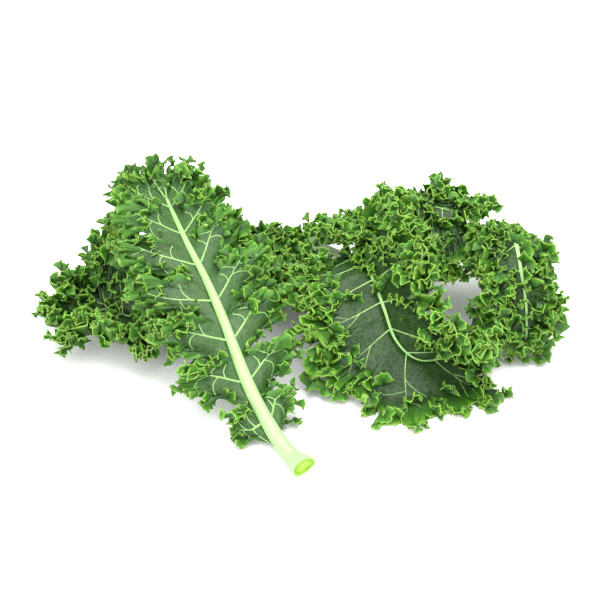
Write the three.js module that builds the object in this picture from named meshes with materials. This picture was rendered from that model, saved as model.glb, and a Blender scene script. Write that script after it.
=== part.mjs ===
// A bunch of curly kale: six cut leaves lying loosely on and against each other, millimetres, +Z up.
// Each leaf is a fleshy stalk, which runs on as the midrib, and a thin blade that wraps round it.
// The origin is the middle of the bunch's footprint, on the surface that it lies on.
import * as THREE from "three";
import { mergeVertices } from "three/addons/utils/BufferGeometryUtils.js";

const BLADE_THICKNESS = 1.5;
const STALK_CLEARANCE = 0.8; // between the flank of a midrib and the blade's inner edge
const PILE_CENTRE = new THREE.Vector3(-1.6, 38, 0); // middle of the footprint in the leaves' own layout
const FLOOR_EASE = 4; // how gradually a blade flattens out where it comes down to the surface

const BLADE_STEPS = 56; // round a blade, from its base on one side, past the tip, to the base on the other
const BLADE_ROWS = 4; // from the midrib out to the margin
const STALK_STEPS = 22;
const STALK_SIDES = 10;
const WAVES = 13; // broad waves of the margin round a whole blade
const LOBES = 7; // side lobes on each half, one to each side vein
const SPINE_SAMPLES = 240;

const rad = THREE.MathUtils.degToRad;
const lerp = THREE.MathUtils.lerp;

// One value that changes along a leaf, given at its base, its middle and its tip.
function along([base, middle, tip], a) {
  return a < 0.5 ? lerp(base, middle, a * 2) : lerp(middle, tip, a * 2 - 1);
}

// The curve that a leaf's midrib follows, with an upward direction carried along it without twisting.
class Spine {
  constructor({ spine, face }) {
    const points = spine.map((p) => new THREE.Vector3(...p).sub(PILE_CENTRE));
    this.curve = new THREE.CatmullRomCurve3(points, false, "catmullrom", 0.5);
    this.ups = [];
    let up = new THREE.Vector3(...face);
    for (let i = 0; i <= SPINE_SAMPLES; i++) {
      const tangent = this.curve.getTangentAt(i / SPINE_SAMPLES);
      up = up.clone().addScaledVector(tangent, -up.dot(tangent)).normalize();
      this.ups.push(up);
    }
  }

  // Where the midrib is at share f of its length, with the leaf's own forward, up and sideways directions.
  at(f) {
    const share = THREE.MathUtils.clamp(f, 0, 1);
    const forward = this.curve.getTangentAt(share);
    const up = this.ups[Math.round(share * SPINE_SAMPLES)].clone();
    const side = new THREE.Vector3().crossVectors(forward, up).normalize();
    return { point: this.curve.getPointAt(share), forward, up, side };
  }
}

// Half the width of the stalk at share f of the spine: flared where it was cut, slender at the tip.
function stalkRadius(f, { stout }) {
  const body = lerp(6.2, 1.1, Math.pow(f, 0.8));
  const flare = 2.6 * Math.exp(-Math.pow(f / 0.05, 2));
  return stout * (body + flare);
}

// The stalk and midrib of one leaf: a tapered rod, flatter on top, bent along the spine. Where its cut end
// lies on the surface, it is flat underneath.
function stalkGeometry(leaf, spine) {
  const rod = new THREE.CylinderGeometry(1, 1, 1, STALK_SIDES, STALK_STEPS);
  const position = rod.getAttribute("position");
  const v = new THREE.Vector3();
  for (let i = 0; i < position.count; i++) {
    v.fromBufferAttribute(position, i);
    const f = (v.y + 0.5) * leaf.midribTo;
    const { point, up, side } = spine.at(f);
    const radius = stalkRadius(f, leaf);
    const flatten = v.z > 0 ? 0.6 : 0.9;
    point.addScaledVector(side, v.x * radius).addScaledVector(up, v.z * radius * flatten);
    point.z = Math.max(point.z, 0);
    position.setXYZ(i, point.x, point.y, point.z);
  }
  return closed(rod);
}

// How far the blade reaches from the midrib at share a of its length, before its lobes are cut.
function reach(a, { width, base, widest, tip }) {
  const growing = lerp(base, 1, Math.sin((Math.PI / 2) * Math.min(a / widest, 1)));
  const rounding = (1 - tip) * Math.pow(Math.max(a - widest, 0) / (1 - widest), 2);
  return width * (growing - rounding);
}

// The bays between the side lobes are deepest near the base of the leaf.
function lobing(a) {
  const bay = 1 - Math.pow(Math.abs(Math.sin(Math.PI * LOBES * a)), 0.6);
  return 1 - lerp(0.34, 0.08, a) * bay;
}

// A point of the blade's middle surface. u runs round the blade from base to tip to base, and v from
// the midrib out to the margin. The lines of constant u are the ways that the side veins take.
function bladePoint(leaf, spine, u, v) {
  const hand = u < 0.5 ? "left" : "right";
  const half = leaf[hand];
  const outward = u < 0.5 ? -1 : 1;
  const a = 1 - Math.abs(2 * u - 1);
  const start = lerp(leaf.bladeFrom, leaf.midribTo, Math.min(a / 0.86, 1));
  const { point, forward, up, side } = spine.at(start);

  const sweep = rad(along(half.sweep, a)) * Math.min((1 - a) / 0.14, 1);
  const ahead = new THREE.Vector3()
    .addScaledVector(forward, Math.cos(sweep))
    .addScaledVector(side, outward * Math.sin(sweep));
  const flank = stalkRadius(start, leaf) + STALK_CLEARANCE;
  const beside = Math.min(Math.sin(sweep) / Math.sin(rad(25)), 1);
  point.addScaledVector(side, outward * flank * beside);
  point.addScaledVector(forward, (flank + STALK_CLEARANCE) * (1 - beside));

  const length = reach(a, leaf) * half.share * lobing(a);
  const fold = along(half.fold, a);
  const curl = along(half.curl, a);
  const pieces = 8;
  const step = (length * v) / pieces;
  for (let i = 0; i < pieces; i++) {
    const s = (v * (i + 0.5)) / pieces;
    const angle = rad(fold + curl * s * s);
    point.addScaledVector(ahead, step * Math.cos(angle));
    point.addScaledVector(up, step * Math.sin(angle));
  }
  const rimAngle = rad(fold + curl * v * v);
  const wave = leaf.wave * v * v * Math.sin(2 * Math.PI * WAVES * u + leaf.phase);
  point.addScaledVector(up, wave * Math.cos(rimAngle));
  point.addScaledVector(ahead, -wave * Math.sin(rimAngle));
  point.z = onSurface(point.z - BLADE_THICKNESS / 2) + BLADE_THICKNESS / 2;
  return point;
}

// Heights near or under the surface are eased up on to it, as a limp leaf flattens where it lies.
function onSurface(z) {
  return (z + Math.sqrt(z * z + FLOOR_EASE * FLOOR_EASE)) / 2;
}

// The blade of one leaf: a thin plate whose ends are the two sides of the leaf's base, laid on the surface.
function bladeGeometry(leaf, spine) {
  const plate = new THREE.BoxGeometry(1, 1, 1, BLADE_STEPS, BLADE_ROWS, 1);
  const position = plate.getAttribute("position");
  const nudge = 1e-3;
  const acrossU = new THREE.Vector3();
  const acrossV = new THREE.Vector3();
  const c = new THREE.Vector3();
  for (let i = 0; i < position.count; i++) {
    c.fromBufferAttribute(position, i);
    const u = c.x + 0.5;
    const v = Math.pow(c.y + 0.5, 0.85);
    const point = bladePoint(leaf, spine, u, v);
    acrossU.copy(bladePoint(leaf, spine, Math.min(u + nudge, 1), Math.max(v, 0.05)));
    acrossU.sub(bladePoint(leaf, spine, Math.max(u - nudge, 0), Math.max(v, 0.05)));
    acrossV.copy(bladePoint(leaf, spine, u, v + nudge)).sub(bladePoint(leaf, spine, u, v));
    const normal = acrossU.cross(acrossV).normalize();
    point.addScaledVector(normal, Math.sign(c.z) * (BLADE_THICKNESS / 2));
    point.z = Math.max(point.z, 0);
    position.setXYZ(i, point.x, point.y, point.z);
  }
  return closed(plate);
}

// Joins the shared vertices of a bent primitive, so that it is one closed body, and gives it new normals.
function closed(geometry) {
  geometry.deleteAttribute("normal");
  geometry.deleteAttribute("uv");
  const joined = mergeVertices(geometry, 1e-4);
  joined.computeVertexNormals();
  return joined;
}

// The leaves, in the order that they were laid down. Points run from the cut end to the tip. face is the
// way that the upper side looks at the cut end. Angles are degrees: sweep is the side veins' angle to the
// midrib, fold lifts a half of the blade towards the upper side, and curl rolls it on towards the margin.
const LEAVES = [
  {
    name: "left_leaf",
    spine: [[-17, 75, 5.2], [-42, 66, 8.5], [-72, 54, 12], [-108, 45, 13], [-138, 43, 12], [-152, 44, 11]],
    face: [0, 0, 1], stout: 0.8, midribTo: 0.96, bladeFrom: 0.34,
    width: 54, base: 0.5, widest: 0.6, tip: 0.5, wave: 4, phase: 0.5,
    left: { share: 1, sweep: [80, 62, 35], fold: [0, 2, 6], curl: [10, 25, 20] },
    right: { share: 1, sweep: [80, 62, 35], fold: [25, 42, 10], curl: [10, 20, 20] },
  },
  {
    name: "middle_leaf",
    spine: [[-105, 154, 6], [-80, 135, 17], [-54, 117, 28], [-29, 100, 33], [-7, 84, 31], [4, 75, 27]],
    face: [0, 0, 1], stout: 0.8, midribTo: 0.96, bladeFrom: 0.26,
    width: 46, base: 0.5, widest: 0.6, tip: 0.5, wave: 4, phase: 1.5,
    left: { share: 0.8, sweep: [80, 62, 35], fold: [0, -6, 0], curl: [0, -10, 0] },
    right: { share: 0.9, sweep: [80, 62, 35], fold: [0, -14, 0], curl: [0, 10, 10] },
  },
  {
    name: "right_leaf",
    spine: [
      [165, 160, 5.4], [159, 135, 32], [152, 102, 57], [148, 68, 70], [151, 42, 63], [157, 22, 39], [159, 10, 12],
    ],
    face: [0, 0, 1], stout: 0.8, midribTo: 0.97, bladeFrom: 0.26,
    width: 46, base: 0.75, widest: 0.45, tip: 0.32, wave: 4, phase: 2.5,
    left: { share: 0.7, sweep: [78, 62, 40], fold: [-20, -25, -10], curl: [0, -20, 0] },
    right: { share: 0.9, sweep: [78, 62, 40], fold: [-20, -20, -10], curl: [0, -10, 0] },
  },
  {
    name: "back_leaf",
    spine: [[-16, 176, 5.4], [8, 156, 22], [36, 136, 38], [62, 119, 55], [83, 106, 70], [95, 97, 71]],
    face: [0, 0, 1], stout: 0.8, midribTo: 0.97, bladeFrom: 0.2,
    width: 48, base: 0.4, widest: 0.78, tip: 0.6, wave: 4, phase: 3.5,
    left: { share: 0.8, sweep: [80, 62, 35], fold: [-10, -15, 0], curl: [0, -10, 0] },
    right: { share: 1, sweep: [80, 72, 45], fold: [12, -24, -52], curl: [0, -20, -20] },
  },
  {
    name: "near_leaf",
    spine: [
      [6, 158, 6], [20, 126, 19], [36, 92, 34], [48, 60, 46], [57, 26, 40], [66, 4, 25], [85, -10, 14],
      [110, -18, 10],
    ],
    face: [0, 0, 1], stout: 0.8, midribTo: 0.97, bladeFrom: 0.44,
    width: 62, base: 0.5, widest: 0.52, tip: 0.28, wave: 4, phase: 4.5,
    left: { share: 0.85, sweep: [80, 60, 35], fold: [50, 55, 10], curl: [0, 20, 10] },
    right: { share: 1.03, sweep: [90, 74, 50], fold: [-5, -8, 0], curl: [10, 10, 10] },
  },
  {
    name: "front_leaf",
    spine: [
      [0, -101, 4], [-8, -88, 3.2], [-20, -71, 11], [-35, -44, 28], [-51, -9, 52], [-64, 20, 66],
      [-79, 51, 77], [-100, 87, 85],
    ],
    face: [0, 0, -1], stout: 1, midribTo: 0.97, bladeFrom: 0.14,
    width: 60, base: 0.4, widest: 0.52, tip: 0.46, wave: 4, phase: 0,
    left: { share: 1, sweep: [75, 50, 25], fold: [0, 0, 0], curl: [0, 0, 0] },
    right: { share: 0.95, sweep: [85, 66, 45], fold: [0, 0, 0], curl: [0, 0, 0] },
  },
];

function finish(name, color, roughness) {
  return new THREE.MeshStandardMaterial({ name, color, roughness, metalness: 0 });
}
const bladeGreen = finish("leaf_blade", 0x3f7a2b, 0.6);
const stalkGreen = finish("leaf_stalk", 0xb4d68c, 0.45);

const bunch = new THREE.Group();
bunch.name = "kale_bunch";
for (const leaf of LEAVES) {
  const spine = new Spine(leaf);
  const stalk = new THREE.Mesh(stalkGeometry(leaf, spine), stalkGreen);
  stalk.name = `${leaf.name}_stalk`;
  const blade = new THREE.Mesh(bladeGeometry(leaf, spine), bladeGreen);
  blade.name = `${leaf.name}_blade`;
  bunch.add(stalk, blade);
}

export default bunch;
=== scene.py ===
import math

import bpy
import numpy as np
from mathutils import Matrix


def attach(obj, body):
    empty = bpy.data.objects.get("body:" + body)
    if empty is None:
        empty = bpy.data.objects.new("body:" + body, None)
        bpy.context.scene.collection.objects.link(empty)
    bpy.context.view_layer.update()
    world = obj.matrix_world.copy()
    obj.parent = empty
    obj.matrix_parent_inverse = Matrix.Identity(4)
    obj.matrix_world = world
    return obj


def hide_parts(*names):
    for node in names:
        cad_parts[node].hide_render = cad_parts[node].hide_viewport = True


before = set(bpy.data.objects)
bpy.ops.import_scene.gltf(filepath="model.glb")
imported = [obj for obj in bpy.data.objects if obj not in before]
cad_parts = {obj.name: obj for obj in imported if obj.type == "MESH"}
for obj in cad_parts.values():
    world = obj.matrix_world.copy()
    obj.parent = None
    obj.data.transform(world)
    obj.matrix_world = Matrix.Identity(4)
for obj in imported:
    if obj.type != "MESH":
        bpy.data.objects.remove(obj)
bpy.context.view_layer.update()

# ---------------------------------------------------------------------------------------------------
# The stalks. Every leaf grows on one fleshy stalk, which runs on into the blade as its midrib. It is
# rounded underneath and nearly flat on top, ribbed along its length by the strands inside it, and it
# flares at the foot, where it was sliced off the plant. It simply lies where it fell.
# ---------------------------------------------------------------------------------------------------
MM = 0.001
PILE_CENTRE = np.array([-1.6, 38.0, 0.0])    # the point of the spines that becomes the origin, in mm

# A spine runs from a stalk's cut end to the tip of its midrib, in millimetres. face is the way that the
# leaf's upper side looks at the cut end. stout scales the stalk's thickness, and midrib_to is the share
# of the spine at which the midrib ends. Everything that is random about a leaf starts from its seed.
LEAVES = [
    dict(
        name="left_leaf", seed=11, stout=0.8, midrib_to=0.96, face=(0, 0, 1),
        spine=[(-17, 75, 5.2), (-42, 66, 8.5), (-72, 54, 12), (-108, 45, 13), (-133, 53, 14), (-144, 64, 16)],
    ),
    dict(
        name="middle_leaf", seed=12, stout=0.8, midrib_to=0.96, face=(0, 0, 1),
        spine=[(-105, 154, 6), (-80, 135, 17), (-54, 117, 28), (-29, 100, 33), (-7, 84, 31), (4, 75, 27)],
    ),
    dict(
        name="right_leaf", seed=13, stout=0.8, midrib_to=0.97, face=(0, 0, 1),
        spine=[
            (165, 160, 5.4), (160, 135, 22), (154, 102, 46), (151, 68, 66), (152, 42, 62), (156, 23, 39),
            (157, 13, 13),
        ],
    ),
    dict(
        name="back_leaf", seed=14, stout=0.8, midrib_to=0.97, face=(0, 0, 1),
        spine=[(-10, 168, 5.4), (10, 151, 19), (36, 133, 35), (62, 119, 54), (87, 107, 69), (113, 97, 70)],
    ),
    dict(
        name="near_leaf", seed=15, stout=0.8, midrib_to=0.97, face=(0, 0, 1),
        spine=[
            (6, 158, 6), (20, 126, 19), (36, 92, 34), (48, 60, 46), (57, 26, 40), (66, 4, 25), (82, -6, 16),
            (106, 1, 14),
        ],
    ),
    dict(
        name="front_leaf", seed=16, stout=1, midrib_to=0.97, face=(0, 0, -1),
        spine=[
            (3, -102, 4), (-6, -89, 3.2), (-19, -71, 11), (-35, -44, 28), (-51, -9, 52), (-64, 20, 66),
            (-79, 51, 77), (-98, 105, 83),
        ],
    ),
]


def unit(vectors):
    """The same directions at length one."""
    return vectors / np.maximum(np.linalg.norm(vectors, axis=-1, keepdims=True), 1e-12)


def run_along(points):
    """How far each point of a line of points is from the first, measured along the line."""
    return np.concatenate([[0], np.cumsum(np.linalg.norm(np.diff(points, axis=0), axis=1))])


class Spine:
    """The curve that a midrib follows, with an upward direction carried along it without twisting."""

    def __init__(self, leaf, steps=960):
        knots = (np.array(leaf["spine"], float) - PILE_CENTRE) * MM
        knots = np.vstack([2 * knots[0] - knots[1], knots, 2 * knots[-1] - knots[-2]])
        spans = len(knots) - 3
        place = np.linspace(0, spans, steps * 2 + 1)
        span = np.minimum(place.astype(int), spans - 1)
        w = (place - span)[:, None]
        before, start, end, after = (knots[span + i] for i in range(4))
        leaving, arriving = (end - before) / 2, (after - start) / 2
        bend = -3 * start + 3 * end - 2 * leaving - arriving
        points = start + leaving * w + bend * w**2 + (2 * start - 2 * end + leaving + arriving) * w**3
        run = run_along(points)
        self.length = run[-1]
        self.shares = np.linspace(0, 1, steps + 1)
        self.points = self.pick(self.shares, run / run[-1], points)
        self.forwards = unit(np.gradient(self.points, axis=0))
        up = np.array(leaf["face"], float)
        ups = []
        for forward in self.forwards:
            up = unit(up - forward * (up @ forward))
            ups.append(up)
        self.ups = np.array(ups)

    @staticmethod
    def pick(share, shares, rows):
        """Rows of three numbers that are known at some shares of the length, at others."""
        return np.stack([np.interp(share, shares, rows[:, k]) for k in range(3)], -1)

    def at(self, share):
        """Points at shares of the length, and the leaf's own forward, up and sideways directions there."""
        share = np.clip(share, 0, 1)
        known = (self.points, self.forwards, self.ups)
        point, forward, up = (self.pick(share, self.shares, rows) for rows in known)
        side = unit(np.cross(forward, up))
        return point, unit(forward), unit(np.cross(side, forward)), side


def stalk_radius(share, leaf):
    """Half the width of a stalk, in metres: flared where it was cut, slender at the tip."""
    body = 6.2 - 5.1 * share**0.8
    flare = 2.6 * np.exp(-((share / 0.05) ** 2))
    return leaf["stout"] * (body + flare) * MM


def smooth_noise(rng, length, pitch, count):
    """A smooth random line from -1 to 1 at count even places, wandering once in every pitch of length."""
    knots = max(int(length / pitch) + 3, 5)
    values = rng.uniform(-1, 1, knots)
    place = np.linspace(0, knots - 3, count) + 1
    left = place.astype(int)
    w = place - left
    w = w * w * (3 - 2 * w)
    return values[left] * (1 - w) + values[np.minimum(left + 1, knots - 1)] * w


STALK_RINGS = 150
STALK_SIDES = 40
RIBS = 11                  # strands that show as faint ridges round the stalk
RIB_HEIGHT = 0.018         # as a share of the stalk's radius
LUMP_HEIGHT = 0.03         # also a share of it
LUMP_PITCH = 18 * MM
BLUNT_TIP = 0.015          # the share of the midrib over which its tip is rounded off
RAGGED_EDGE = 0.8 * MM     # how unevenly the knife left the rim of the cut
SLANTED_CUT = 0.7 * MM
# The cut end is slightly dished. Its rings, from the middle out, as shares of its radius with their depths.
CUT_RINGS = ((0.3, 1.4 * MM), (0.55, 1.3 * MM), (0.8, 0.7 * MM), (0.93, 0.1 * MM))


def stalk_mesh(leaf, spine):
    """The stalk and midrib: rings along the spine, with a dished, ragged cut end."""
    rng = np.random.default_rng(leaf["seed"])
    share = np.linspace(0, 1, STALK_RINGS) ** 1.25 * leaf["midrib_to"]
    point, forward, up, side = spine.at(share)
    turn = np.linspace(0, 2 * math.pi, STALK_SIDES, endpoint=False)
    across, height = np.cos(turn), np.sin(turn)
    # The top is nearly flat, with a shallow groove along its middle.
    flat_top = 0.5 - 0.16 * np.exp(-((across / 0.45) ** 2))
    section = np.where(height > 0, height * flat_top, height * 0.92)
    ribs = 1 + RIB_HEIGHT * np.cos(RIBS * turn + 0.6)
    lumps = 1 + LUMP_HEIGHT * smooth_noise(rng, spine.length, LUMP_PITCH, STALK_RINGS)
    rounding = np.sqrt(np.clip((1 - share / leaf["midrib_to"]) / BLUNT_TIP, 0.02, 1))
    radius = (stalk_radius(share, leaf) * lumps * rounding)[:, None, None]
    rings = (
        point[:, None]
        + side[:, None] * radius * (across * ribs)[:, None]
        + up[:, None] * radius * (section * ribs)[:, None]
    )
    ragged = RAGGED_EDGE * smooth_noise(rng, 1, 0.12, STALK_SIDES) + SLANTED_CUT * np.cos(2 * turn + 1)
    near_cut = np.exp(-share / 0.02)
    rings += forward[:, None] * (near_cut[:, None] * ragged)[..., None]
    cut = [point[0] + (rings[0] - point[0]) * inward + forward[0] * depth for inward, depth in CUT_RINGS]
    rings = np.concatenate([cut, rings])
    rings[..., 2] = np.maximum(rings[..., 2], 0)
    cut_middle = point[0] + forward[0] * CUT_RINGS[0][1]
    vertices = np.concatenate([rings.reshape(-1, 3), [cut_middle, rings[-1].mean(0)]])
    faces = []
    for ring in range(len(rings) - 1):
        for j in range(STALK_SIDES):
            k = (j + 1) % STALK_SIDES
            here, there = ring * STALK_SIDES, (ring + 1) * STALK_SIDES
            faces.append((here + j, there + j, there + k, here + k))
    foot = len(rings) * STALK_SIDES
    last = foot - STALK_SIDES
    for j in range(STALK_SIDES):
        k = (j + 1) % STALK_SIDES
        faces.append((foot, j, k))
        faces.append((foot + 1, last + k, last + j))
    mesh = bpy.data.meshes.new(leaf["name"] + "_ribbed_stalk")
    mesh.from_pydata(vertices.tolist(), [], faces)
    inward = [ring[0] for ring in CUT_RINGS]
    for name, on_cut, on_stalk, ends in (
        ("along", np.zeros(len(cut)), share, [0, leaf["midrib_to"]]),
        ("cut_face", np.ones(len(cut)), np.zeros(STALK_RINGS), [1, 0]),
        ("spread", inward, np.ones(STALK_RINGS), [0, 1]),
    ):
        values = np.repeat(np.concatenate([on_cut, on_stalk]), STALK_SIDES)
        add_attribute(mesh, name, np.concatenate([values, ends]))
    return mesh


def add_attribute(mesh, name, values):
    """Keeps one number for each vertex, for the material to read."""
    mesh.attributes.new(name, "FLOAT", "POINT").data.foreach_set("value", np.asarray(values, np.float32))


def add_piece(name, mesh, material, node=None):
    """A finished piece: smooth-shaded, in its one material, riding on the bunch's one body."""
    mesh.materials.clear()
    mesh.materials.append(material)
    mesh.shade_smooth()
    piece = bpy.data.objects.new(name, mesh)
    bpy.context.scene.collection.objects.link(piece)
    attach(piece, "root")
    if node:
        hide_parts(node)
    return piece


def colour(hex_code):
    """An sRGB hex colour as the linear colour that a shader takes."""
    parts = [int(hex_code[i : i + 2], 16) / 255 for i in (1, 3, 5)]
    return tuple(c / 12.92 if c <= 0.04045 else ((c + 0.055) / 1.055) ** 2.4 for c in parts) + (1.0,)


def add_node(material, kind, settings=None, **links):
    """Adds a shader node, sets its fields, and links or fills the inputs named in links. An input that
    shares its name with another is given by its number, as i0 or i1."""
    node = material.node_tree.nodes.new("ShaderNode" + kind)
    for field, value in (settings or {}).items():
        if field == "ramp":
            stops = node.color_ramp.elements
            while len(stops) < len(value):
                stops.new(0.5)
            for stop, (position, shade) in zip(stops, value):
                stop.position = position
                stop.color = colour(shade)
        else:
            setattr(node, field, value)
    for name, value in links.items():
        key = int(name[1:]) if name[1:].isdigit() else name.replace("_", " ")
        socket = node.inputs[key]
        if isinstance(value, bpy.types.NodeSocket):
            material.node_tree.links.new(value, socket)
        else:
            socket.default_value = value
    return node


def new_material(name):
    """A material with no nodes yet."""
    material = bpy.data.materials.new(name)
    material.use_nodes = True
    material.node_tree.nodes.clear()
    return material


def finish_material(material, **inputs):
    """Ends a material in its shader, with these inputs."""
    shader = add_node(material, "BsdfPrincipled", **inputs)
    add_node(material, "OutputMaterial", Surface=shader.outputs["BSDF"])
    return material


# Kale stalk: a crisp, watery stem under a smooth waxy skin. The eye sees a pale green with softer clouds
# where the wax is thicker, a fine grain and a soft gloss, and on the cut face a wetter, yellower green
# with a darker ring of strands.
SKIN_CLOUD = 9.1 * MM      # across one cloud of wax
SKIN_GRAIN = 1.11 * MM     # across one grain of the skin, drawn coarse enough to catch the light


def stalk_material():
    material = new_material("kale_stalk_waxy_skin")
    place = add_node(material, "TexCoord").outputs["Object"]
    along = add_node(material, "Attribute", dict(attribute_name="along")).outputs["Fac"]
    cut_face = add_node(material, "Attribute", dict(attribute_name="cut_face")).outputs["Fac"]
    spread = add_node(material, "Attribute", dict(attribute_name="spread")).outputs["Fac"]
    grain = add_node(material, "TexNoise", Vector=place, Scale=1 / SKIN_GRAIN, Detail=3.0, Roughness=0.6)
    clouds = add_node(material, "TexNoise", Vector=place, Scale=1 / SKIN_CLOUD, Detail=4.0)
    greens = [(0.0, "#92be80"), (0.3, "#a0c77e"), (1.0, "#80b058")]
    skin = add_node(material, "ValToRGB", dict(ramp=greens), Fac=along)
    mottled = add_node(
        material, "MixRGB", Fac=clouds.outputs["Fac"], Color1=skin.outputs["Color"], Color2=colour("#9ac280")
    )
    rings = [(0.0, "#a4cc4e"), (0.5, "#93c034"), (0.78, "#6c9a1e"), (0.9, "#8ab636"), (1.0, "#b4d66e")]
    pith = add_node(material, "ValToRGB", dict(ramp=rings), Fac=spread)
    body = add_node(
        material, "MixRGB", Fac=cut_face, Color1=mottled.outputs["Color"], Color2=pith.outputs["Color"]
    )
    bump = add_node(material, "Bump", Strength=0.25, Distance=0.3 * MM, Height=grain.outputs["Fac"])
    return finish_material(
        material, Base_Color=body.outputs["Color"], Normal=bump.outputs["Normal"], Roughness=0.42, IOR=1.42,
        Subsurface_Weight=0.25, Subsurface_Radius=(0.6, 1.0, 0.3), Subsurface_Scale=3 * MM,
    )


spines = {leaf["name"]: Spine(leaf) for leaf in LEAVES}
stalk_skin = stalk_material()
for leaf in LEAVES:
    mesh = stalk_mesh(leaf, spines[leaf["name"]])
    add_piece(leaf["name"] + "_ribbed_stalk", mesh, stalk_skin, leaf["name"] + "_stalk")

# ---------------------------------------------------------------------------------------------------
# The blades. A kale leaf's blade is a thin, tough sheet that wraps its midrib. It grows much faster at
# the margin than inside, so the smooth middle is framed by a thick ruff of curls upon curls, which ends
# in a toothed rim, painted pale as a highlight. It grew as one with the midrib.
# ---------------------------------------------------------------------------------------------------
# What is given for each blade, in degrees and in shares of its reach where nothing else is said:
#   blade_from         the share of the spine where the blade starts
#   width, widest      how far it reaches from the midrib in millimetres, and where along it that is
#   base, tip          the shares of that width at its two ends
#   band               how far in from the rim its curly part starts
#   left, right        its halves, seen from the cut end with the upper side up: share scales the reach,
#                      sweep is the side veins' angle to the midrib, fold lifts the half towards the upper
#                      side, and curl rolls it on towards the rim, each at the base, middle and tip
#   roll               how far the curly part rolls up: mean, spread, and the millimetres it varies over
#   crinkle            the strength of its large and of its small waves
#   bays               how deep the lobes are parted at the base and at the tip, and how widely
#   notches            the least and the greatest depth of the notches between lobules
#   overlap            how many millimetres a lobe rides up on the next
CRUMPLED = dict(
    roll=(35, 45, 11), crinkle=(1.0, 1.0), bays=(0.55, 0.2, 0.5), notches=(0.05, 0.25), overlap=1.5,
)
LESS_CRUMPLED = dict(CRUMPLED, roll=(35, 40, 11))
BLADES = dict(
    left_leaf=dict(
        CRUMPLED, blade_from=0.34, width=54, base=0.5, widest=0.74, tip=0.42, band=0.7,
        left=dict(share=1.22, sweep=(80, 80, 80), fold=(0, 2, 4), curl=(10, 15, 15)),
        right=dict(share=1.4, sweep=(80, 60, 46), fold=(25, 40, 30), curl=(10, 10, 0)),
    ),
    middle_leaf=dict(
        CRUMPLED, blade_from=0.26, width=46, base=0.5, widest=0.6, tip=0.5, band=0.8,
        left=dict(share=0.62, sweep=(80, 62, 35), fold=(0, -6, 0), curl=(0, -10, 0)),
        right=dict(share=0.9, sweep=(80, 62, 35), fold=(0, -14, 0), curl=(0, 10, 10)),
    ),
    right_leaf=dict(
        LESS_CRUMPLED, blade_from=0.26, width=46, base=0.38, widest=0.45, tip=0.12, band=0.8,
        left=dict(share=0.78, sweep=(78, 62, 46), fold=(-40, -38, -15), curl=(0, -20, 0)),
        right=dict(share=0.78, sweep=(78, 62, 40), fold=(-20, -20, -10), curl=(0, -10, 0)),
    ),
    back_leaf=dict(
        LESS_CRUMPLED, blade_from=0.2, width=48, base=0.32, widest=0.78, tip=0.75, band=0.8,
        left=dict(share=0.6, sweep=(80, 62, 35), fold=(-10, -15, 0), curl=(0, -10, 0)),
        right=dict(share=1.3, sweep=(80, 76, 56), fold=(12, -24, -52), curl=(0, -20, -20)),
    ),
    near_leaf=dict(
        CRUMPLED, blade_from=0.34, width=62, base=0.84, widest=0.68, tip=0.14, band=0.5,
        left=dict(share=1.1, sweep=(84, 52, 10), fold=(54, 50, -30), curl=(0, 20, 10)),
        right=dict(share=1.08, sweep=(88, 80, 50), fold=(-5, -8, 0), curl=(10, 10, 10)),
    ),
    front_leaf=dict(
        blade_from=0.12, width=60, base=0.2, widest=0.42, tip=0.56, band=0.4,
        left=dict(share=1.1, sweep=(80, 56, 26), fold=(0, 0, 0), curl=(0, 0, 0)),
        right=dict(share=1.04, sweep=(86, 68, 22), fold=(0, 0, 0), curl=(0, 0, 0)),
        roll=(10, 26, 20), crinkle=(0.6, 0.9), bays=(0.88, 0.6, 1.5), notches=(0.02, 0.2), overlap=6.0,
    ),
)
for leaf in LEAVES:
    leaf.update(BLADES[leaf["name"]])

LOBES = 8                  # side lobes on each half, one to each side vein
LOBULES = 3                # to a lobe
TEETH = 3                  # to a lobule
TOOTH_DEPTH = 0.04         # as a share of the blade's reach
SHEET_REACH = 0.95         # how far the sheet itself reaches of the widths above: curls make up the rest
TIP_FAN = 0.14             # the last share of a blade, where the side veins fan out from the midrib's tip
QUILT_HEIGHT = 1.0 * MM    # of the blade between its side veins
PUCKER_HEIGHT = 0.12 * MM
PUCKERS = 8                # sets of small random waves
CRINKLES = ((24 * MM, 5.5 * MM, 0), (10 * MM, 2.4 * MM, 0.25))    # length, height, start in the band
LOBE_SEED = 50             # added to a leaf's seed, as are those of its crinkles, veins and curls
CRINKLE_SEED = 100
BLADE_THICKNESS = 0.55 * MM
RIM_THICKNESS = 0.95 * MM
BLADE_TONE = 0.4           # how light a blade is among its curls, from 0 to 1
FLOOR_EASE = 4 * MM        # the height over which a limp leaf flattens out on the table
FINE_STEPS = 4000          # for lines that are sampled again at the columns
COLUMNS = 1680             # round the blade
# Rows run from the midrib to the rim: where each one lies, and how many columns apart its points stand.
ROWS = (
    [(v, 4) for v in (0, 0.07, 0.14, 0.21, 0.28)]
    + [(v, 2) for v in (0.35, 0.42, 0.49)]
    + [(v, 1) for v in (0.56, 0.63, 0.7, 0.77, 0.83, 0.885, 0.93, 0.965, 0.99, 1)]
)


def along(three, a):
    """A value that is given at a blade's base, middle and tip, at shares a of the way."""
    return np.interp(a, [0, 0.5, 1], three)


def reach(a, leaf):
    """How far the blade reaches from the midrib, in metres, before it is cut into lobes."""
    growing = leaf["base"] + (1 - leaf["base"]) * np.sin(np.pi / 2 * np.minimum(a / leaf["widest"], 1))
    rounding = (1 - leaf["tip"]) * (np.maximum(a - leaf["widest"], 0) / (1 - leaf["widest"])) ** 2
    return leaf["width"] * (growing - rounding) * MM


def directions(surface):
    """Along the rim, outward, and up from the leaf's upper side, at every point of a grid of points."""
    rim_way = unit(np.gradient(surface, axis=1))
    outward = unit(np.gradient(surface, axis=0))
    return rim_way, outward, unit(np.cross(rim_way, outward))


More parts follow.
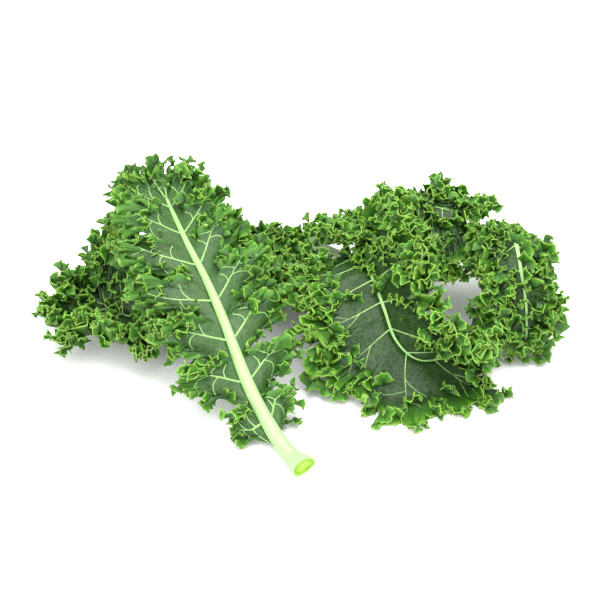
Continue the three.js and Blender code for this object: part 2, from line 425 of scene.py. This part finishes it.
def lobing(leaf, u, a, rng):
    """The shares of its reach that the blade keeps: first after the deep bays between the lobes, then
    after the shallower ones that part every lobe into lobules and every lobule into teeth."""

    def bays(count, width):
        return 1 - np.abs(np.sin(np.pi * count * a)) ** width

    lobules = LOBES * LOBULES
    depths = rng.uniform(*leaf["notches"], (2, lobules + 1))
    depth = depths[(u > 0.5).astype(int), np.round(a * lobules).astype(int)]
    at_base, at_tip, width = leaf["bays"]
    lobes = 1 - np.interp(a, [0, 1], [at_base, at_tip]) * bays(LOBES, width)
    notched = 1 - depth * bays(lobules, 0.5)
    return lobes, notched * (1 - TOOTH_DEPTH * bays(lobules * TEETH, 0.8))


def quilting(pressed, v, a, rng):
    """How far the blade swells between its side veins, with small random puckers on top."""
    inside = (np.sin(np.pi * np.clip(v / 0.7, 0, 1)) ** 2)[:, None]
    height = QUILT_HEIGHT * inside * np.cos(2 * np.pi * LOBES * a)
    for _ in range(PUCKERS):
        turn, offset = rng.uniform(0, 2 * math.pi, 2)
        pace = 2 * math.pi / (rng.uniform(7, 14) * MM)
        way = pressed[..., 0] * math.cos(turn) + pressed[..., 1] * math.sin(turn)
        height = height + PUCKER_HEIGHT * inside * np.sin(way * pace + offset)
    return height


def flat_blade(leaf, spine, u, v):
    """The blade's middle surface before it crinkles. u (columns) runs from the base on the left, past the
    tip, to the base on the right, and v (rows) from the midrib out to the rim. Also the place of each
    point on the leaf if it were pressed flat, and how far along the blade each column is."""
    rng = np.random.default_rng(leaf["seed"] + LOBE_SEED)
    left = u < 0.5
    outward = np.where(left, -1.0, 1.0)[:, None]
    a = 1 - np.abs(2 * u - 1)

    def half(key):
        return np.where(left, along(leaf["left"][key], a), along(leaf["right"][key], a))

    start = leaf["blade_from"] + (leaf["midrib_to"] - leaf["blade_from"]) * np.minimum(a / (1 - TIP_FAN), 1)
    point, forward, up, side = spine.at(start)
    sweep = np.radians(half("sweep")) * np.minimum((1 - a) / TIP_FAN, 1)
    ahead = forward * np.cos(sweep)[:, None] + side * outward * np.sin(sweep)[:, None]

    # The blade starts inside the midrib, nearer its flanks than its middle.
    radius = stalk_radius(start, leaf)[:, None]
    beside = np.minimum(np.sin(sweep) / math.sin(math.radians(25)), 1)[:, None]
    point = point + side * outward * radius * 0.6 * beside - forward * radius * 0.5 * (1 - beside)
    point = point + up * radius * 0.3

    lobes, edging = lobing(leaf, u, a, rng)
    share = np.where(left, leaf["left"]["share"], leaf["right"]["share"])
    length = SHEET_REACH * reach(a, leaf) * share * lobes
    extent = v[:, None] * (1 - (1 - edging) * v[:, None] ** 2)
    mean, spread, pitch = leaf["roll"]
    roll = mean + spread * smooth_noise(rng, 2 * spine.length, pitch * MM, FINE_STEPS + 1)
    roll = np.interp(u, np.linspace(0, 1, FINE_STEPS + 1), roll)
    onset = 1 - leaf["band"]
    surface = [point]
    for row in range(1, len(v)):
        s = (v[row - 1] + v[row]) / 2
        rolled = max(s - onset, 0) / leaf["band"]
        angle = np.radians(half("fold") + half("curl") * s * s + roll * rolled**1.3)[:, None]
        step = ((extent[row] - extent[row - 1]) * length)[:, None]
        surface.append(surface[-1] + step * (ahead * np.cos(angle) + up * np.sin(angle)))
    surface = np.array(surface)

    across = extent * length
    pressed = np.stack(
        [start * spine.length + across * np.cos(sweep), outward[:, 0] * (across * np.sin(sweep) + 4 * MM)], -1
    )
    rim_way, _, normal = directions(surface)
    shingle = leaf["overlap"] * MM * (v**1.5)[:, None] * np.sin(2 * np.pi * LOBES * a)
    surface = surface + normal * (quilting(pressed, v, a, rng) + shingle)[..., None]
    return surface + rim_way * (shingle * outward[:, 0])[..., None], pressed, a


def on_surface(z):
    """Eases heights near or under the table up on to it, as a limp leaf flattens where it lies."""
    return (z + np.sqrt(z * z + FLOOR_EASE**2)) / 2


def crinkled(surface, v, rng, wavelength, height, onset, strength):
    """One order of curls: waves of about one wavelength, measured along the rim, that swell from onset to
    the rim, bulge into loops and lean in and out. Each order of curls rides on the one before it."""
    rim_way, outward, normal = directions(surface)
    run = run_along(surface[np.searchsorted(v, 0.85)])
    count = surface.shape[1]
    drift = smooth_noise(rng, run[-1], wavelength * 1.7, count)
    size = 1 + 0.4 * smooth_noise(rng, run[-1], wavelength * 1.3, count)
    tilt = 0.4 * smooth_noise(rng, run[-1], wavelength * 1.1, count)
    skew = smooth_noise(rng, run[-1], wavelength * 0.9, count)
    phase = 2 * np.pi * run / wavelength + 1.5 * drift
    phase = phase + skew * (1.5 * (1 - v))[:, None]
    grown = (np.clip((v - onset) / (1 - onset), 0, 1) ** 1.3)[:, None] * (size * strength)
    rise = height * grown * (np.cos(phase) + 0.2)
    bulge = 0.13 * wavelength * grown * np.sin(2 * phase)
    lean = height * grown * tilt
    return surface + normal * rise[..., None] + rim_way * bulge[..., None] + outward * lean[..., None]


def blade_shape(leaf, spine):
    """The crinkled middle surface of a blade, as a grid of rows and columns of points. The columns are
    spread evenly by the length of the lobed outline, not by how far along the leaf they are."""
    rng = np.random.default_rng(leaf["seed"] + CRINKLE_SEED)
    v = np.array([row for row, _ in ROWS])
    even = np.linspace(0, 1, 2 * FINE_STEPS + 1)
    rough, _, _ = flat_blade(leaf, spine, even, v)
    run = run_along(rough[-3])
    u = np.interp(np.linspace(0, run[-1], COLUMNS + 1), run, even)
    surface, pressed, a = flat_blade(leaf, spine, u, v)
    strength = np.interp(a, [0, 0.3, 1], [0.5, 1, 1])
    for (wavelength, height, later), share in zip(CRINKLES, leaf["crinkle"]):
        onset = 1 - leaf["band"] + later * leaf["band"]
        surface = crinkled(surface, v, rng, wavelength, height, onset, strength * share)
    surface[..., 2] = on_surface(surface[..., 2] - RIM_THICKNESS / 2) + RIM_THICKNESS / 2
    return surface, pressed, a, u, v


def grid_edges(rows, columns, inner_step=1):
    """The outer edges of a grid of points, as pairs of point numbers. inner_step is how many columns
    apart the points of its first row stand."""
    rim, inner, row = np.arange(columns - 1), np.arange(0, columns - 1, inner_step), np.arange(rows - 1)
    last = (rows - 1) * columns
    return np.concatenate([
        np.stack([last + rim, last + rim + 1], 1),
        np.stack([inner + inner_step, inner], 1),
        np.stack([row * columns, (row + 1) * columns], 1),
        np.stack([(row + 2) * columns - 1, (row + 1) * columns - 1], 1),
    ])


def sheet_mesh(name, middle, half, quads, corners, edges, values, pressed, spare):
    """A closed sheet: its middle surface moved out by half its thickness each way, and strips that join
    the two faces along the edges. Its maps are the place of each point with the sheet pressed flat, and
    one that lays out every face on its own."""
    upper, under = (middle + half).reshape(-1, 3), (middle - half).reshape(-1, 3)
    pressed, spare = pressed.reshape(-1, 2), spare.reshape(-1, 2)
    shift = len(upper)
    strips = np.concatenate([edges, edges[:, ::-1] + shift], 1)
    quads = np.concatenate([quads, quads[:, ::-1] + shift, strips])
    corners = np.concatenate([corners, corners[:, ::-1] + shift])
    loops = np.concatenate([quads.ravel(), corners.ravel()])
    used, numbers = np.unique(loops, return_inverse=True)
    split = 4 * len(quads)
    vertices = np.concatenate([upper, under])[used]
    vertices[:, 2] = np.maximum(vertices[:, 2], 0)
    mesh = bpy.data.meshes.new(name)
    faces = numbers[:split].reshape(-1, 4).tolist() + numbers[split:].reshape(-1, 3).tolist()
    mesh.from_pydata(vertices.tolist(), [], faces)
    for key, value in values.items():
        add_attribute(mesh, key, np.tile(value.ravel(), 2)[used])
    add_attribute(mesh, "underside", used >= shift)
    laid_out = np.concatenate([spare, spare + (0.5, 0)])[loops]
    strip_loops = slice(split - 4 * len(strips), split)
    laid_out[strip_loops] = spare[loops[strip_loops] % shift]
    for key, places in (("pressed_leaf", pressed[loops % shift]), ("OFBake", laid_out)):
        mesh.uv_layers.new(name=key).data.foreach_set("uv", places.astype(np.float32).ravel())
    return mesh


def blade_mesh(leaf, sheet):
    """A blade as a closed sheet, coarse at the midrib and fine at the rim."""
    middle, pressed, a, u, v = sheet
    thickness = (BLADE_THICKNESS + (RIM_THICKNESS - BLADE_THICKNESS) * v**4)[:, None, None]
    _, _, normal = directions(middle)
    rows, columns = len(v), len(u)
    quads, corners = [], []
    for i in range(rows - 1):
        wide, fine = ROWS[i][1], ROWS[i + 1][1]
        here = i * columns + np.arange(0, columns - 1, wide)
        out = here + columns
        if wide == fine:
            quads.append(np.stack([here, here + wide, out + wide, out], 1))
        else:
            corners.append(np.stack([here, here + wide, out + fine], 1))
            corners.append(np.stack([here + wide, out + wide, out + fine], 1))
            corners.append(np.stack([here, out + fine, out], 1))
    full = np.ones((rows, columns))
    across = (0.01 + 0.97 * v)[:, None] + (u > 0.5)
    return sheet_mesh(
        leaf["name"] + "_crinkled_blade", middle, normal * thickness / 2,
        np.concatenate(quads), np.concatenate(corners), grid_edges(rows, columns, ROWS[0][1]),
        dict(rim=full * v[:, None], tone=full * BLADE_TONE), pressed, np.stack([across / 4, full * a], -1),
    )


# Kale leaf: a tough green blade under a thin bloom of wax, which makes it matt and a little blue. The
# eye sees a deep green hollow, painted in as shade, a livelier green in the curls, where light comes
# through, painted in as colour, a pale rim painted as a highlight, and a lighter, greyer underside, all
# netted with paler veins.
VEIN_NET = 3.2 * MM        # across one mesh of the fine net of veins
LEAF_PATCH = 22.2 * MM     # across one warmer or cooler patch
LEAF_PUCKER = 4.35 * MM    # across one dimple of the skin
BLOOM_GRAIN = 0.714 * MM   # across one grain of the wax, drawn coarse enough to catch the light


def blade_material():
    material = new_material("kale_leaf_waxy_bloom")
    place = add_node(material, "TexCoord").outputs["Object"]
    pressed = add_node(material, "UVMap", dict(uv_map="pressed_leaf")).outputs["UV"]
    rim, under, tone = (
        add_node(material, "Attribute", dict(attribute_name=name)).outputs["Fac"]
        for name in ("rim", "underside", "tone")
    )
    patches = add_node(
        material, "TexNoise", Vector=place, Scale=1 / LEAF_PATCH, Detail=4.0, Roughness=0.6
    ).outputs["Fac"]

    # From the midrib out to the rim: an even green, painted shade in the hollow under the ruff, brighter
    # curls where light coming through is painted in, and a pale edge painted as a highlight.
    upper_greens_and_painted_light = [
        (0.0, "#193709"), (0.45, "#1c3d0d"), (0.58, "#143006"), (0.8, "#31600f"), (0.96, "#4e801d"),
        (1.0, "#84a846"),
    ]
    lower_greens_and_painted_light = [
        (0.0, "#325422"), (0.45, "#2f5120"), (0.58, "#1f4010"), (0.8, "#346217"), (0.96, "#4a7c23"),
        (1.0, "#84a84c"),
    ]
    upper = add_node(material, "ValToRGB", dict(ramp=upper_greens_and_painted_light), Fac=rim).outputs["Color"]
    lower = add_node(material, "ValToRGB", dict(ramp=lower_greens_and_painted_light), Fac=rim).outputs["Color"]
    face = add_node(material, "MixRGB", Fac=under, Color1=upper, Color2=lower).outputs["Color"]
    warmth = add_node(material, "MapRange", Value=patches, From_Min=0.3, From_Max=0.7).outputs["Result"]
    tints = add_node(material, "ValToRGB", dict(ramp=[(0.0, "#5a8058"), (1.0, "#94a44a")]), Fac=warmth)
    tinted = add_node(
        material, "MixRGB", dict(blend_type="OVERLAY"), Fac=0.35, Color1=face, Color2=tints.outputs["Color"]
    ).outputs["Color"]
    # Tone lightens or darkens a face: at random on the curls, with their leaf's painted light added.
    lightness = add_node(material, "MapRange", Value=tone, To_Min=0.8, To_Max=1.3).outputs["Result"]
    toned = add_node(material, "HueSaturation", Value=lightness, Color=tinted).outputs["Color"]

    # The net of veins shows on the blade and fades out in its curls.
    net = add_node(
        material, "TexVoronoi", dict(feature="DISTANCE_TO_EDGE"), Vector=pressed, Scale=1 / VEIN_NET
    ).outputs["Distance"]
    threads = add_node(material, "MapRange", Value=net, From_Min=0.0, From_Max=0.12, To_Min=1.0, To_Max=0.0)
    inner = add_node(material, "MapRange", Value=rim, From_Min=0.5, From_Max=0.8, To_Min=0.09, To_Max=0.0)
    netting = add_node(
        material, "Math", dict(operation="MULTIPLY"), i0=threads.outputs["Result"], i1=inner.outputs["Result"]
    ).outputs["Value"]
    netted = add_node(material, "MixRGB", Fac=netting, Color1=toned, Color2=colour("#86b46c"))

    grain = add_node(material, "TexNoise", Vector=place, Scale=1 / BLOOM_GRAIN, Detail=2.0).outputs["Fac"]
    relief = add_node(material, "Math", dict(operation="SUBTRACT"), i0=grain, i1=netting).outputs["Value"]
    puckers = add_node(material, "TexNoise", Vector=place, Scale=1 / LEAF_PUCKER, Detail=2.0).outputs["Fac"]
    puckered = add_node(material, "Bump", Strength=0.6, Distance=1 * MM, Height=puckers).outputs["Normal"]
    bump = add_node(material, "Bump", Strength=0.3, Distance=0.3 * MM, Height=relief, Normal=puckered)
    gloss = add_node(
        material, "MapRange", Value=patches, From_Min=0.3, From_Max=0.7, To_Min=0.42, To_Max=0.6
    ).outputs["Result"]
    return finish_material(
        material, Base_Color=netted.outputs["Color"], Normal=bump.outputs["Normal"], Roughness=gloss,
        IOR=1.4, Subsurface_Weight=0.2, Subsurface_Radius=(0.5, 1.0, 0.2), Subsurface_Scale=1.5 * MM,
    )


leaf_green = blade_material()
sheets = {leaf["name"]: blade_shape(leaf, spines[leaf["name"]]) for leaf in LEAVES}
for leaf in LEAVES:
    mesh = blade_mesh(leaf, sheets[leaf["name"]])
    add_piece(leaf["name"] + "_crinkled_blade", mesh, leaf_green, leaf["name"] + "_blade")

# ---------------------------------------------------------------------------------------------------
# The side veins. Each leaves the midrib for one lobe, forks on the way, and thins out towards the curls.
# They are firm strands, thicker than the sheet they run in, so they stand proud of both its faces.
# ---------------------------------------------------------------------------------------------------
VEIN_SEED = 300
VEIN_RADIUS = 1.15 * MM    # at the midrib
THINNEST_VEIN = 0.42 * MM
VEIN_SIDES = 6
VEIN_PLUMPNESS = 1.0       # scales every vein's radius
VEIN_END = 0.86            # how near the rim a side vein runs
FORKS = ((0.26, 0.3), (0.4, -0.34), (0.55, 0.26), (0.66, -0.22))    # where, and how far to the side


def on_sheet(sheet, normal, right, a, v, sink):
    """Points of the blade at shares a along it and v across it, sunk towards its underside."""
    middle, _, _, columns_u, rows_v = sheet
    j = np.interp(1 - a / 2 if right else a / 2, columns_u, np.arange(len(columns_u)))
    i = np.interp(v, rows_v, np.arange(len(rows_v)))
    left, low = np.minimum(j.astype(int), len(columns_u) - 2), np.minimum(i.astype(int), len(rows_v) - 2)
    x, y = (j - left)[:, None], (i - low)[:, None]

    def blend(grid):
        nearer = grid[low, left] * (1 - x) + grid[low, left + 1] * x
        farther = grid[low + 1, left] * (1 - x) + grid[low + 1, left + 1] * x
        return nearer * (1 - y) + farther * y

    return blend(middle) - unit(blend(normal)) * sink[:, None]


def vein_paths(leaf, sheet):
    """Every side vein and fork of a leaf, as points with a radius at each."""
    rng = np.random.default_rng(leaf["seed"] + VEIN_SEED)
    _, _, normal = directions(sheet[0])
    steps = np.linspace(0, 1, 15)
    for right in (False, True):
        for lobe in range(LOBES):
            a = (lobe + 0.5) / LOBES
            bow = rng.uniform(-0.15, 0.15) / LOBES

            def bowed(v):
                return a + bow * np.sin(np.pi * v) + 0.12 / LOBES * v

            start = leaf["stout"] * VEIN_RADIUS * (1 - 0.45 * a)
            v = VEIN_END * steps
            radius = np.maximum(start * (1 - 0.8 * steps**0.8), THINNEST_VEIN)
            yield on_sheet(sheet, normal, right, bowed(v), v, 0.1 * radius), radius
            for where, aside in FORKS:
                v = where + 0.3 * steps
                turned = aside / LOBES * (1 - (1 - steps) ** 1.6) * rng.uniform(0.7, 1.2)
                radius = start * (1 - 0.8 * (where / VEIN_END) ** 0.8) * 0.75 * (1 - 0.6 * steps)
                radius = np.maximum(radius, THINNEST_VEIN)
                yield on_sheet(sheet, normal, right, bowed(where) + turned, v, 0.1 * radius), radius


def vein_tree(material):
    """Turns each path into a round strand as thick as the path's own radius, closed at both ends."""
    tree = bpy.data.node_groups.new("Side veins", "GeometryNodeTree")
    for name, kind in (("Paths", "Geometry"), ("Sides", "Int"), ("Plumpness", "Float")):
        tree.interface.new_socket(name, in_out="INPUT", socket_type="NodeSocket" + kind)
    tree.interface.new_socket("Veins", in_out="OUTPUT", socket_type="NodeSocketGeometry")
    given = tree.nodes.new("NodeGroupInput").outputs
    circle = tree.nodes.new("GeometryNodeCurvePrimitiveCircle")
    tree.links.new(given["Sides"], circle.inputs["Resolution"])
    tree.links.new(given["Plumpness"], circle.inputs["Radius"])
    strand = tree.nodes.new("GeometryNodeCurveToMesh")
    strand.inputs["Fill Caps"].default_value = True
    tree.links.new(given["Paths"], strand.inputs["Curve"])
    tree.links.new(circle.outputs["Curve"], strand.inputs["Profile Curve"])
    radius = tree.nodes.new("GeometryNodeInputRadius")
    tree.links.new(radius.outputs["Radius"], strand.inputs["Scale"])
    realize = tree.nodes.new("GeometryNodeRealizeInstances")
    tree.links.new(strand.outputs["Mesh"], realize.inputs["Geometry"])
    finish = tree.nodes.new("GeometryNodeSetMaterial")
    finish.inputs["Material"].default_value = material
    tree.links.new(realize.outputs["Geometry"], finish.inputs["Geometry"])
    out = tree.nodes.new("NodeGroupOutput")
    tree.links.new(finish.outputs["Geometry"], out.inputs["Veins"])
    return tree


def veins_mesh(leaf, sheet, tree):
    """All of a leaf's side veins, as one plain mesh."""
    curve = bpy.data.curves.new(leaf["name"] + "_vein_paths", "CURVE")
    curve.dimensions = "3D"
    for points, radii in vein_paths(leaf, sheet):
        points[:, 2] = np.maximum(points[:, 2], radii)
        spline = curve.splines.new("POLY")
        spline.points.add(len(points) - 1)
        spline.points.foreach_set("co", np.concatenate([points, np.ones((len(points), 1))], 1).ravel())
        spline.points.foreach_set("radius", radii)
    paths = bpy.data.objects.new(curve.name, curve)
    bpy.context.scene.collection.objects.link(paths)
    modifier = paths.modifiers.new("Side veins", "NODES")
    modifier.node_group = tree
    inputs = {item.name: item.identifier for item in tree.interface.items_tree if item.in_out == "INPUT"}
    modifier[inputs["Sides"]] = VEIN_SIDES
    modifier[inputs["Plumpness"]] = VEIN_PLUMPNESS
    mesh = bpy.data.meshes.new_from_object(paths.evaluated_get(bpy.context.evaluated_depsgraph_get()))
    bpy.data.objects.remove(paths)
    mesh.name = leaf["name"] + "_side_veins"
    return mesh


# Kale vein: the same crisp strands as the stalk's, but thin, so that a little of the blade's green shows
# through. The eye sees a pale, even, slightly glossy line.
VEIN_CLOUD = 6.25 * MM     # along one lighter stretch of a vein
VEIN_GRAIN = 0.667 * MM    # across one grain of its skin


def vein_material():
    material = new_material("kale_vein_pale_strand")
    place = add_node(material, "TexCoord").outputs["Object"]
    clouds = add_node(material, "TexNoise", Vector=place, Scale=1 / VEIN_CLOUD, Detail=3.0).outputs["Fac"]
    shades = add_node(material, "ValToRGB", dict(ramp=[(0.3, "#78a656"), (0.7, "#9cc278")]), Fac=clouds)
    grain = add_node(material, "TexNoise", Vector=place, Scale=1 / VEIN_GRAIN, Detail=2.0).outputs["Fac"]
    bump = add_node(material, "Bump", Strength=0.2, Distance=0.2 * MM, Height=grain)
    return finish_material(
        material, Base_Color=shades.outputs["Color"], Normal=bump.outputs["Normal"], Roughness=0.45, IOR=1.42,
        Subsurface_Weight=0.2, Subsurface_Radius=(0.6, 1.0, 0.3), Subsurface_Scale=1.5 * MM,
    )


vein_skin = vein_material()
vein_maker = vein_tree(vein_skin)
for leaf in LEAVES:
    mesh = veins_mesh(leaf, sheets[leaf["name"]], vein_maker)
    add_piece(leaf["name"] + "_side_veins", mesh, vein_skin)

# ---------------------------------------------------------------------------------------------------
# The curls. Along its margin the blade divides over and over, until every lobule is a small ruffled fan
# with a toothed rim. The fans crowd over one another in a ruff that hides much of the blade they grow on.
# ---------------------------------------------------------------------------------------------------
# What is given for each leaf's curls:
#   curl_gap           the least distance between two of them, in millimetres
#   cover              how far in from the rim they grow on the left and right halves, as shares of the reach
#   hidden_to          how far along the blade they may hide its midrib, as a share
#   light              how much lighter they are on a leaf that gets more light through it
CURLS = dict(
    left_leaf=dict(curl_gap=8.2, cover=(0.9, 0.75), hidden_to=0.85, light=0.15),
    middle_leaf=dict(curl_gap=8.0, cover=(1, 1), hidden_to=1, light=0.0),
    right_leaf=dict(curl_gap=8.2, cover=(1, 1), hidden_to=1, light=0.0),
    back_leaf=dict(curl_gap=8.2, cover=(1, 1), hidden_to=1, light=0.2),
    near_leaf=dict(curl_gap=8.2, cover=(1, 0.55), hidden_to=0.38, light=0.2),
    front_leaf=dict(curl_gap=7.6, cover=(0.42, 0.42), hidden_to=0, light=0.0),
)
for leaf in LEAVES:
    leaf.update(CURLS[leaf["name"]])

CURL_SEED = 200
CURL_ROWS = np.array([0, 0.25, 0.5, 0.73, 0.91, 1])    # from a curl's foot to its rim
CURL_COLUMNS = 40
CURL_SIZE = (6.5 * MM, 10.5 * MM)
CURL_THICKNESS = 0.45 * MM
TOOTH_CUT = 0.26           # how deep the teeth are cut, as a share of a curl's size
MOST_CURLS = 200           # on one leaf
CURL_TRIES = 5000          # in each part of a leaf
CROWDED = 0.86             # the gap on a half that is covered all over, as a share of curl_gap
BARE_MIDRIB = 12 * MM      # from the foot of a midrib that shows to the nearest curl


def curl_places(leaf, sheet, rng):
    """Where curls grow: first on the midrib where they hide it, then along the rim, then over the ruff
    between, each a gap away from every other. Gives their places, the blade's outward and upward
    directions there, and how near the rim they are."""
    middle, _, a, u, v = sheet
    _, outward, up = directions(middle)
    chosen, found = np.zeros((MOST_CURLS, 3)), []
    for part in ("midrib", "rim", "ruff"):
        for _ in range(CURL_TRIES):
            j = rng.integers(8, len(u) - 8)
            cover = leaf["cover"][int(u[j] > 0.5)]
            wanted = dict(midrib=0, rim=0.97, ruff=1 - cover * math.sqrt(rng.uniform(0, 1)))[part]
            i = np.argmin(np.abs(v - wanted))
            spot = middle[i, j]
            if a[j] > leaf["hidden_to"] and np.linalg.norm(spot - middle[0, j]) < BARE_MIDRIB:
                continue
            gap = leaf["curl_gap"] * MM * (CROWDED if cover == 1 else 1)
            clear = np.linalg.norm(chosen[: len(found)] - spot, axis=1) > gap
            if clear.all() and len(found) < MOST_CURLS:
                chosen[len(found)] = spot
                found.append((i, j))
    i, j = np.array(found).T
    return middle[i, j], outward[i, j], up[i, j], v[i]


def curl_fans(rng, count, r, t):
    """Fans at r from foot to rim and t from edge to edge, ruffled twice over, toothed and bent as they
    grow. Gives how far each point lies across, ahead of and above the foot, and how far from it if the
    fan is flat."""

    def pick(low, high):
        return rng.uniform(low, high, (count, 1, 1))

    size = pick(*CURL_SIZE)
    fold = pick(0, 2 * math.pi) + math.pi * pick(1.9, 2.9) * t
    ruffle = pick(0, 2 * math.pi) + math.pi * pick(5.5, 7.5) * t
    tooth = np.abs(np.sin(math.pi * pick(3.2, 4.4) * t + pick(0, 3))) ** 0.6
    rounded = 1 - 0.08 * t**2 - 0.36 * t**8
    flat = size * (0.1 + 0.9 * r) * (1 - TOOTH_CUT * r**4 * (1 - tooth)) * rounded
    angle = pick(1.0, 1.6) * t + 0.24 * r * np.sin(2 * fold)
    across, straight = flat * np.sin(angle), flat * np.cos(angle)
    proud = size * (0.33 * r**1.3 * np.sin(fold) + 0.12 * r**2.5 * np.sin(ruffle))
    bend = pick(-1.3, 1.3) / size
    turned = bend * straight
    ahead = np.sin(turned) / bend - proud * np.sin(turned)
    above = (1 - np.cos(turned)) / bend + proud * np.cos(turned)
    return across, ahead, above, flat


def curl_bearings(rng, outward, up, rim):
    """Each curl's own sideways, forward and upward directions. Those on the rim grow mostly outward, those
    on the ruff stand up, and those on the midrib lean back over it."""
    count = len(rim)
    lean = np.where(rim > 0.9, rng.uniform(-15, 65, count), rng.uniform(35, 105, count))
    lean = np.radians(np.where(rim < 0.05, rng.uniform(75, 140, count), lean))[:, None]
    growing = unit(outward * np.cos(lean) + up * np.sin(lean) + 0.35 * rng.normal(size=(count, 3)))
    spin = np.radians(rng.uniform(-80, 80, count))[:, None]
    facing = unit(np.cross(growing, np.cross(up * np.cos(lean) - outward * np.sin(lean), growing)))
    facing = facing * np.cos(spin) + np.cross(growing, facing) * np.sin(spin)
    return np.cross(growing, facing), growing, facing


def curls_mesh(leaf, sheet):
    """All of a leaf's curls, each a closed sheet of its own."""
    rng = np.random.default_rng(leaf["seed"] + CURL_SEED)
    place, outward, up, rim = curl_places(leaf, sheet, rng)
    count = len(place)
    r = CURL_ROWS[:, None]
    t = np.linspace(-1, 1, CURL_COLUMNS + 1)
    across, ahead, above, flat = curl_fans(rng, count, r, t)
    sideways, growing, facing = (way[:, None, None] for way in curl_bearings(rng, outward, up, rim))
    point = place[:, None, None] + (
        sideways * across[..., None] + growing * ahead[..., None] + facing * above[..., None]
    )
    point[..., 2] = on_surface(point[..., 2])
    normal = unit(np.cross(np.gradient(point, axis=2), np.gradient(point, axis=1)))

    rows, columns = len(CURL_ROWS), CURL_COLUMNS + 1
    foot = np.arange(rows - 1)[:, None] * columns + np.arange(columns - 1)
    quads = np.stack([foot, foot + 1, foot + columns + 1, foot + columns], -1).reshape(-1, 4)

    def on_every_curl(faces):
        firsts = (np.arange(count) * rows * columns)[:, None, None]
        return (faces + firsts).reshape(-1, faces.shape[1])

    full = np.ones((count, rows, columns))
    cell = np.arange(count)[:, None, None]
    cells = math.ceil(math.sqrt(count / 2))
    shelves = math.ceil(count / cells)
    spare = np.stack([
        full * (cell % cells + 0.5 + 0.45 * t) / cells / 2, full * (cell // cells + 0.05 + 0.9 * r) / shelves,
    ], -1)
    # Every curl has a tone of its own, plus its leaf's painted light, and its own place on the net of veins.
    apart = rng.uniform(0, 1, (3, count, 1, 1))
    # Each curl runs from painted shade at its foot to a painted highlight at its edge.
    return sheet_mesh(
        leaf["name"] + "_curls", point, normal * CURL_THICKNESS / 2,
        on_every_curl(quads), np.zeros((0, 3), int), on_every_curl(grid_edges(rows, columns)),
        dict(rim=full * (0.55 + 0.45 * r), tone=full * (apart[2] + leaf["light"])),
        np.stack([across + apart[0], flat + apart[1]], -1), spare,
    )


for leaf in LEAVES:
    add_piece(leaf["name"] + "_curls", curls_mesh(leaf, sheets[leaf["name"]]), leaf_green)

# ---------------------------------------------------------------------------------------------------
# The stage: a plain pale floor in a white room, a large soft light overhead and a weaker one in front,
# and the camera, which looks down on the bunch from the front.
# ---------------------------------------------------------------------------------------------------
FLOOR_REACH = 6            # metres from the bunch to the floor's edges

floor_mesh = bpy.data.meshes.new("floor")
corners = [(x * FLOOR_REACH, y * FLOOR_REACH, 0) for x, y in ((-1, -1), (1, -1), (1, 1), (-1, 1))]
floor_mesh.from_pydata(corners, [], [(0, 1, 2, 3)])
# Matt paper: it has next to no gloss, so the eye sees only soft shadows on it.
paper = new_material("pale_paper")
floor_mesh.materials.append(
    finish_material(paper, Base_Color=colour("#f6f6f6"), Roughness=0.9, Specular_IOR_Level=0.1)
)
floor = bpy.data.objects.new("floor", floor_mesh)
floor.location.z = -0.2 * MM    # just clear of the leaves that lie on it
bpy.context.scene.collection.objects.link(floor)

LIT_POINT = np.array([0, 0, 0.03])
# name, width in metres, power in watts, place
SOFT_BOXES = (
    ("overhead_softbox", 1.2, 24.0, (0.2, -0.1, 1.15)),
    ("front_fill", 1.0, 13.0, (-0.6, -1.0, 0.8)),
)
for name, width, power, place in SOFT_BOXES:
    light = bpy.data.lights.new(name, "AREA")
    light.size = width
    light.energy = power
    lamp = bpy.data.objects.new(name, light)
    lamp.location = place
    x, y, z = place - LIT_POINT
    lamp.rotation_euler = (math.atan2(math.hypot(x, y), z), 0, math.atan2(y, x) + math.pi / 2)
    bpy.context.scene.collection.objects.link(lamp)

world = bpy.data.worlds.new("studio")
bpy.context.scene.world = world
bpy.context.scene.view_settings.view_transform = "Standard"
world.use_nodes = True
world.node_tree.nodes["Background"].inputs["Color"].default_value = (1, 1, 1, 1)
world.node_tree.nodes["Background"].inputs["Strength"].default_value = 1.1

CAMERA_ELEVATION = math.radians(36)
CAMERA_DISTANCE = 1.1
CAMERA_AIM = np.array([0.0016, -0.012, 0.044])
camera = bpy.data.objects.new("camera", bpy.data.cameras.new("camera"))
camera.data.lens = 95.7
camera.data.sensor_width = 36
back = np.array([0, -math.cos(CAMERA_ELEVATION), math.sin(CAMERA_ELEVATION)])
camera.location = CAMERA_AIM + back * CAMERA_DISTANCE
camera.rotation_euler = (math.pi / 2 - CAMERA_ELEVATION, 0, 0)
bpy.context.scene.collection.objects.link(camera)
bpy.context.scene.camera = camera
